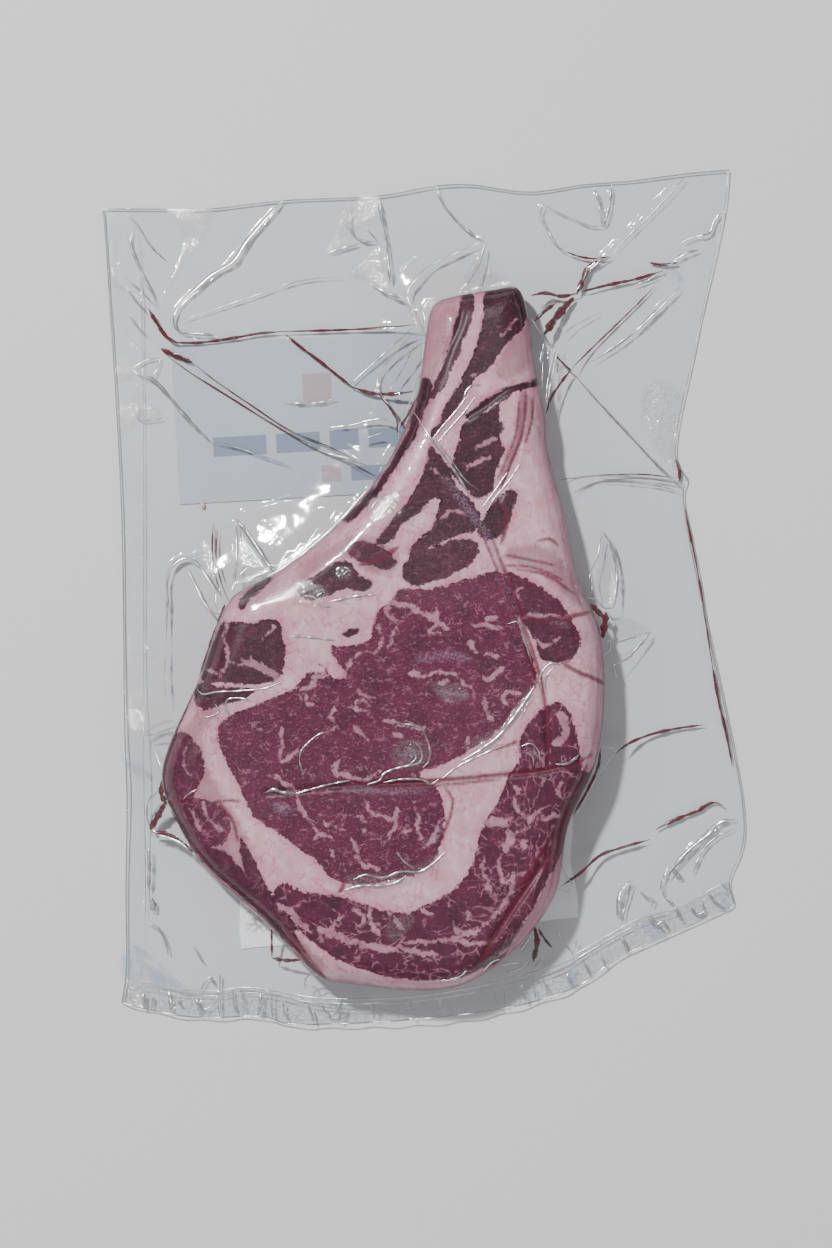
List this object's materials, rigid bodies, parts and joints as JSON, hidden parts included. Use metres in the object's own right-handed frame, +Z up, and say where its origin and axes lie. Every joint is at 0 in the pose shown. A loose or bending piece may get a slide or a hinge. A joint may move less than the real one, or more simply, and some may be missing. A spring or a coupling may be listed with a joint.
{
  "type": "vacuum packed rib steak",
  "caption": "Comma shaped marbled rib steak with a long tail, sealed in a clear wrinkled vacuum bag with a wide flat margin and blank paper labels stuck behind it",
  "frame": {"origin": "middle of the pack's bounding box, on the ground", "axes": "+Z up, +Y along the bag toward the steak's tail, +X to the right as seen from above"},
  "size_m": [0.2656, 0.3522, 0.0337],
  "materials": {
    "marbled_meat": "moist raw meat under tight film",
    "clear_film": "clear glossy film",
    "label_card": "matt coated card",
    "label_paper": "plain matt paper"
  },
  "bodies": {
    "root": {"steak": "marbled_meat", "bag_film": "clear_film", "back_label": "label_card", "lower_label": "label_paper"}
  },
  "joints": []
}
